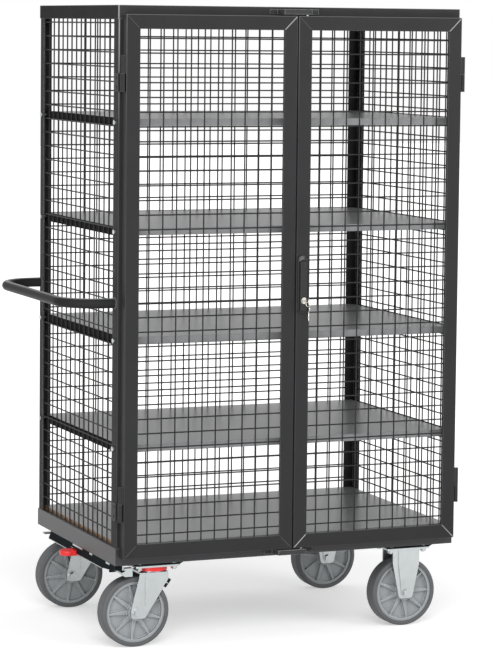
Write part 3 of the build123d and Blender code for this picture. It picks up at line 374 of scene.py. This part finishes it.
DOOR_FACE = 40.0            # face leg of the door angle
WELD_R = 1.8                # weld bead on a mitre
WELD_SINK = 0.6             # proud bead's middle behind the door's face
GROUND_SINK = 1.4           # the same for a bead ground almost flush
WELD_PITCH = 4.5            # ripple to ripple
WELD_FROM = 2.0             # bead's outer end in from the frame's corner
WELD_SHORT = 1.0            # bead's inner end short of the face leg's edge


def mitre_welds(side, proud):
    """Weld beads on the four mitres of one door frame; those not named proud are ground almost flush."""
    low, high = corners(f"door_{side}_frame")
    ground_beads, proud_beads = [], []
    for x, inward, across in ((low.x, 1, "left"), (high.x, -1, "right")):
        for z, upward, along in ((low.z, 1, "bottom"), (high.z, -1, "top")):
            lean = Vector((inward, 0, upward))
            stands = f"{along}_{across}" in proud
            outer = Vector((x, low.y + (WELD_SINK if stands else GROUND_SINK), z))
            run = bead(outer + WELD_FROM * lean, outer + (DOOR_FACE - WELD_SHORT) * lean, WELD_R, WELD_PITCH)
            (proud_beads if stands else ground_beads).append(run)
    piece(f"door_{side}_mitre_welds", ground_beads, "powder_coat", f"door_{side}", WELD_COAT)
    piece(f"door_{side}_proud_welds", proud_beads, "powder_coat", f"door_{side}", PROUD_WELD_COAT)


FILLET = ((-0.5, 3.4), (0.8, 3.0), (2.2, 1.8), (3.4, 0.6), (4.2, -0.4))     # along the leg, out from its tube
FILLET_RIPPLE = 0.35
FILLET_WAVES = 15


def handle_welds():
    """Rippled fillet welds where the two handle legs meet the posts."""
    low, high = corners("push_handle")
    radius = (high.z - low.z) / 2
    profile = [(along, radius + out) for along, out in FILLET]
    fillets = [turned((high.x, y, low.z + radius), (-1, 0, 0), profile, count=60, ripple=FILLET_RIPPLE,
                      waves=FILLET_WAVES) for y in (low.y + radius, high.y - radius)]
    piece("handle_welds", fillets, "powder_coat", "cage", WELD_COAT)


HINGE_PLATE_X = 524.0       # outer face of the hinge bracket's side plate
HINGE_SCREW_Y = -333.0
HINGE_FEET = (371.0, 1563.0)        # undersides of the lower and upper brackets
HINGE_SCREW_UP = (12.0, 38.0)       # screws above a bracket's underside
SCREW_HEAD = ((-0.6, 4.6), (0.2, 4.6), (1.2, 4.0), (1.8, 2.9), (1.9, 1.9), (0.4, 1.8))      # out, radius


def hinge_screws():
    """Button-head socket screws that hold the hinge brackets to the posts."""
    heads = [turned((side * HINGE_PLATE_X, HINGE_SCREW_Y, foot + up), (side, 0, 0), SCREW_HEAD, count=18)
             for side in (-1, 1) for foot in HINGE_FEET for up in HINGE_SCREW_UP]
    piece("hinge_screws", heads, "powder_coat", "cage")


FORK_SHOULDER = Vector((-352.5, 0, 191.0))      # where the swivel fork's front edge starts to slope
FORK_EDGE = Vector((-0.597, 0, -0.802))         # along that edge, downwards
FORK_OUT = Vector((0.802, 0, -0.597))           # away from that edge
SLEEVE_R = 7.0
SLEEVE_END_R = 4.6
SLEEVE_ROUND = 0.8          # length of the sleeve's rounded ends
SLEEVE_L = 28.0
SLEEVE_UP = 3.0             # sleeve's upper end above the shoulder, along the edge
SLEEVE_OFF = 3.2            # sleeve's middle off the edge
BAND_HALF = 1.6             # half the clip band's width
BAND_FLAT = 1.2             # half the width of its flat
BAND_SINK = 0.5             # its edges below the sleeve's skin
BAND_PROUD = 0.7            # its flat above the sleeve's skin
NEAR_LEGS = {"front": -311.0, "rear": 249.0}    # Y of each swivel fork's near leg


def fork_sleeve(castor, leg_y):
    """Dark stop sleeve with a zinc clip band, on the front edge of a swivel fork's near leg."""
    shoulder = FORK_SHOULDER + Vector((0, leg_y, 0))
    foot = shoulder + SLEEVE_OFF * FORK_OUT - SLEEVE_UP * FORK_EDGE
    profile = ((0, SLEEVE_END_R), (SLEEVE_ROUND, SLEEVE_R), (SLEEVE_L - SLEEVE_ROUND, SLEEVE_R),
               (SLEEVE_L, SLEEVE_END_R))
    piece(f"stop_sleeve_{castor}", [turned(foot, FORK_EDGE, profile, count=24)], "beam_dark",
          f"castor_{castor}")
    middle = SLEEVE_L / 2
    band = ((middle - BAND_HALF, SLEEVE_R - BAND_SINK), (middle - BAND_FLAT, SLEEVE_R + BAND_PROUD),
            (middle + BAND_FLAT, SLEEVE_R + BAND_PROUD), (middle + BAND_HALF, SLEEVE_R - BAND_SINK))
    piece(f"stop_sleeve_band_{castor}", [turned(foot, FORK_EDGE, band, count=24)], "zinc",
          f"castor_{castor}")


RAIL_FACE_X = -521.0        # outer face of the brake rail
RAIL_LOW_Z = 217.0          # its lower edge
RAIL_T = 3.0
RAIL_EDGE_RUNS = ((-224.0, -10.0), (50.0, 246.0))                       # along Y, either side of the pedal
RAIL_SLOTS = ((-296.0, -266.0), (-150.0, -126.0), (-63.0, 21.0))        # ends along Y
RAIL_SLOT_Z = (236.0, 240.0)
TAB_TOP_Z = 242.6           # just under the base frame
TAB_OFF = 0.05              # tab off the rail's face
TAB_T = 1.4
TAB_BEND = 0.6              # its outer corner at the bend
TAB_CHAMFER = 0.4           # its outer corner at the top
TAB_UNDER = 1.0             # room under the tab in its slot
TAB_OVER = 0.2              # room over it
TAB_EASE = 0.5              # room at each end of it
EDGE_WIRE_R = 1.8
EDGE_WIRE_END_R = 1.2
EDGE_WIRE_ROUND = 0.6       # length of the wire's rounded ends
EDGE_WIRE_DROP = 0.4        # wire's middle under the rail's edge


def rail_tabs():
    """Zinc tabs that come out through the brake rail's slots and are bent up against it."""
    face = RAIL_FACE_X - TAB_OFF
    back = RAIL_FACE_X + RAIL_T
    outer = face - TAB_T
    low = RAIL_SLOT_Z[0] + TAB_UNDER
    high = RAIL_SLOT_Z[1] - TAB_OVER
    section = ((back, low), (outer + TAB_BEND, low), (outer, low + TAB_BEND),
               (outer, TAB_TOP_Z - TAB_CHAMFER), (outer + TAB_CHAMFER, TAB_TOP_Z), (face, TAB_TOP_Z),
               (face, high), (back, high))
    tabs = [[[Vector((x, y, z)) for x, z in section] for y in (start + TAB_EASE, end - TAB_EASE)]
            for start, end in RAIL_SLOTS]
    piece("rail_tabs", tabs, "zinc", "cage")


def rail_wired_edge():
    """Zinc wire that stiffens the brake rail's lower edge."""
    runs = []
    for start, end in RAIL_EDGE_RUNS:
        length = end - start
        profile = ((0, EDGE_WIRE_END_R), (EDGE_WIRE_ROUND, EDGE_WIRE_R),
                   (length - EDGE_WIRE_ROUND, EDGE_WIRE_R), (length, EDGE_WIRE_END_R))
        foot = (RAIL_FACE_X + RAIL_T / 2, start, RAIL_LOW_Z - EDGE_WIRE_DROP)
        runs.append(turned(foot, (0, 1, 0), profile))
    piece("rail_wired_edge", runs, "zinc", "cage")


PEDAL_CORNER = 8.0          # radius of the corners at the shaft
PEDAL_ARC_STEPS = 12
PEDAL_GROOVE = 1.4          # depth of the groove round the pedal
PEDAL_TREAD = 7.0           # tread above the shaft's middle
# height above the shaft's middle, inset of the outline there
PEDAL_LAYERS = ((-8, 3.0), (-6.6, 0.8), (-5.4, 0), (-1.2, 0), (-0.8, PEDAL_GROOVE), (0.8, PEDAL_GROOVE),
                (1.2, 0), (4.8, 0), (6.2, 0.8), (PEDAL_TREAD, 3.0))
HUB_CHAMFER = 1.0
PEDAL_RIBS = 5
PEDAL_RIB_PITCH = 9.0
PEDAL_RIB_FROM = 10.0       # first rib in from the toe
PEDAL_RIB_MARGIN = 9.0      # ribs in from the pedal's sides
PEDAL_RIB_R = 1.6
PEDAL_RIB_END_R = 0.8
PEDAL_RIB_ROUND = 1.0       # length of a rib's rounded ends
PEDAL_RIB_SINK = 0.6        # a rib's middle under the tread


def pedal_plan(low, high, z, inset):
    """Outline of the pedal at one height: round at the toe, small corners at the shaft."""
    toe = (high.y - low.y) / 2
    corner_x = high.x - PEDAL_CORNER
    arcs = ((low.x + toe, low.y + toe, toe, 90, 270),
            (corner_x, low.y + PEDAL_CORNER, PEDAL_CORNER, 270, 360),
            (corner_x, high.y - PEDAL_CORNER, PEDAL_CORNER, 0, 90))
    points = []
    for x, y, radius, start, end in arcs:
        for i in range(PEDAL_ARC_STEPS + 1):
            angle = math.radians(start + (end - start) * i / PEDAL_ARC_STEPS)
            out = Vector((math.cos(angle), math.sin(angle), 0))
            points.append(Vector((x, y, z)) + (radius - inset) * out)
    return points


def ribbed_pedal():
    """Brake pedal moulded in two layers with a groove between, grip ribs on top and a hub on the shaft."""
    low, high = corners("brake_pedal")
    hub_r = (high.z - low.z) / 2
    shaft_x = high.x - hub_r
    middle = low.z + hub_r
    plate = Vector((shaft_x, high.y, 0))
    layers = [pedal_plan(low, plate, middle + up, inset) for up, inset in PEDAL_LAYERS]
    wide = high.y - low.y
    barrel = ((0, hub_r - HUB_CHAMFER), (HUB_CHAMFER, hub_r), (wide - HUB_CHAMFER, hub_r),
              (wide, hub_r - HUB_CHAMFER))
    shells = [layers, turned((shaft_x, low.y, middle), (0, 1, 0), barrel, count=32)]
    length = wide - 2 * PEDAL_RIB_MARGIN
    grip = ((0, PEDAL_RIB_END_R), (PEDAL_RIB_ROUND, PEDAL_RIB_R), (length - PEDAL_RIB_ROUND, PEDAL_RIB_R),
            (length, PEDAL_RIB_END_R))
    for i in range(PEDAL_RIBS):
        foot = (low.x + PEDAL_RIB_FROM + PEDAL_RIB_PITCH * i, low.y + PEDAL_RIB_MARGIN,
                middle + PEDAL_TREAD - PEDAL_RIB_SINK)
        shells.append(turned(foot, (0, 1, 0), grip, count=12))
    pedal = piece("ribbed_brake_pedal", shells, "brake_red", "brake")
    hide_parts("brake_pedal")


HOOD_LIFT = 9.0             # hood's lip before the dish's face
LEVER_SWEEP = 11.8          # clear of the lever's end when it turns
HOOD_ENDS = (65.0, 150.0)   # hood's ends round the pivot, degrees; the first clears the turned lever
HOOD_STEPS = 20
HOOD_BOW = (0.12, 0.76)     # where the lip's bow starts and how much of it is used, in half waves
HOOD_IN = 0.2               # hood's foot inside the dish's outline
HOOD_SINK = 0.4             # hood's foot behind the dish's face


def lock_hood():
    """Sloped hood at the dish's upper end, just clear of the turning lever."""
    low, high = corners("lock_dish")
    lever_low, lever_high = corners("lock_lever")
    end_r = (high.x - low.x) / 2
    end = Vector((low.x + end_r, low.y, high.z - end_r))
    pivot_z = lever_high.z - (lever_high.y - lever_low.y) / 2
    first, last = HOOD_ENDS
    bow_start, bow_span = HOOD_BOW
    sunk = Vector((0, HOOD_SINK, 0))
    sections = []
    for i in range(HOOD_STEPS + 1):
        part = i / HOOD_STEPS
        angle = math.radians(first + (last - first) * part)
        out = Vector((math.cos(angle), 0, math.sin(angle)))
        lip = Vector((end.x, low.y, pivot_z)) + LEVER_SWEEP * out
        rise = HOOD_LIFT * math.sin(math.pi * (bow_start + bow_span * part))
        sections.append([end + (end_r - HOOD_IN) * out + sunk, lip - Vector((0, rise, 0)), lip + sunk])
    piece("lock_hood", [sections], "lock_black", "door_right", HOOD_ENAMEL)


CAP_DOWN = 8.0              # cap's middle under the lever's upper end
CAP_DOME = ((-0.5, 7.6), (0.5, 7.6), (1.2, 6.8), (1.6, 5.0))       # out, radius


def pivot_cap():
    """Domed cap over the slot where the lever sits on its spindle."""
    low, high = corners("lock_lever")
    cap = turned(((low.x + high.x) / 2, low.y, high.z - CAP_DOWN), (0, -1, 0), CAP_DOME, count=28)
    piece("lever_pivot_cap", [cap], "lock_black", "lock_lever")


# Floor and light, in metres

FLOOR_HALF = 30.0
# lamp, where it stands, what it points at, its width and height, its watts
LAMPS = (("key_softbox", (-2.2, -5.5, 4.5), (0, 0, 1.0), (3.5, 3.5), 220),
         ("fill_softbox", (3.5, -4.5, 2.5), (0, 0, 1.0), (3.0, 3.0), 110),
         ("low_softbox", (-3.4, -3.4, 0.4), (-0.4, 0, 0.25), (1.6, 0.6), 56))


def seen_rays(tree):
    """1 for rays that show the backdrop itself: seen, mirrored or through glass."""
    path = add(tree, "LightPath", {})
    mirrored = add(tree, "Math", {0: path.outputs["Is Camera Ray"], 1: path.outputs["Is Glossy Ray"]},
                   operation="MAXIMUM")
    return add(tree, "Math", {0: mirrored.outputs[0], 1: path.outputs["Is Transmission Ray"]},
               operation="MAXIMUM").outputs[0]


def studio_floor():
    """Pale paper floor that glows white in the open, is painted greyer round the trolley, and keeps the soft
    shadow.
    """
    mesh = bpy.data.meshes.new("studio_floor")
    points = [(x * FLOOR_HALF, y * FLOOR_HALF, 0) for x, y in ((-1, -1), (1, -1), (1, 1), (-1, 1))]
    mesh.from_pydata(points, [], [(0, 1, 2, 3)])
    floor = bpy.data.objects.new("studio_floor", mesh)
    bpy.context.collection.objects.link(floor)
    paper = bpy.data.materials.new("white_studio_paper")
    paper.use_nodes = True
    tree = paper.node_tree
    tree.nodes.clear()
    lit = add(tree, "BsdfDiffuse", {"Color": linear("#e6e6e6")})
    place = add(tree, "TexCoord", {})
    # the glow rises from 0.44 within a metre of the middle to 0.8 beyond 3.5 m: painted shade round the
    # trolley, fading out to white
    away = add(tree, "VectorMath", {0: place.outputs["Object"]}, operation="LENGTH")
    lift = add(tree, "MapRange", {"Value": away.outputs["Value"], "From Min": 1.0, "From Max": 3.5,
                                  "To Min": 0.44, "To Max": 0.8})
    glow = add(tree, "Emission", {"Strength": lift.outputs[0]})
    bright = add(tree, "AddShader", {0: lit.outputs[0], 1: glow.outputs[0]})
    mix = add(tree, "MixShader", {0: seen_rays(tree), 1: lit.outputs[0], 2: bright.outputs[0]})
    add(tree, "OutputMaterial", {"Surface": mix.outputs[0]})
    mesh.materials.append(paper)


def studio_world():
    """White surroundings: soft light on the object, plain white where they are seen."""
    world = bpy.data.worlds.new("white_studio")
    bpy.context.scene.world = world
    world.use_nodes = True
    tree = world.node_tree
    strength = add(tree, "MapRange", {"Value": seen_rays(tree), "To Min": 0.6, "To Max": 1.0})
    fill(tree, tree.nodes["Background"], {"Color": linear("#ffffff"), "Strength": strength.outputs[0]})


def softbox(name, at, aim, size, power):
    """Rectangular area lamp, (width, height), that points at a spot."""
    lamp = bpy.data.lights.new(name, "AREA")
    lamp.shape = "RECTANGLE"
    lamp.size, lamp.size_y = size
    lamp.energy = power
    box = bpy.data.objects.new(name, lamp)
    bpy.context.collection.objects.link(box)
    box.location = at
    box.rotation_mode = "QUATERNION"
    box.rotation_quaternion = (Vector(aim) - Vector(at)).to_track_quat("-Z", "Y")


place_camera()
dress_nodes()
mitre_welds("left", ("top_right",))
mitre_welds("right", ("top_right", "bottom_left", "bottom_right"))
handle_welds()
hinge_screws()
for castor_name, near_leg in NEAR_LEGS.items():
    fork_sleeve(castor_name, near_leg)
rail_tabs()
rail_wired_edge()
ribbed_pedal()
lock_hood()
pivot_cap()
studio_floor()
studio_world()
for lamp_values in LAMPS:
    softbox(*lamp_values)

bpy.context.scene.view_settings.view_transform = "Standard"
bpy.context.view_layer.update()
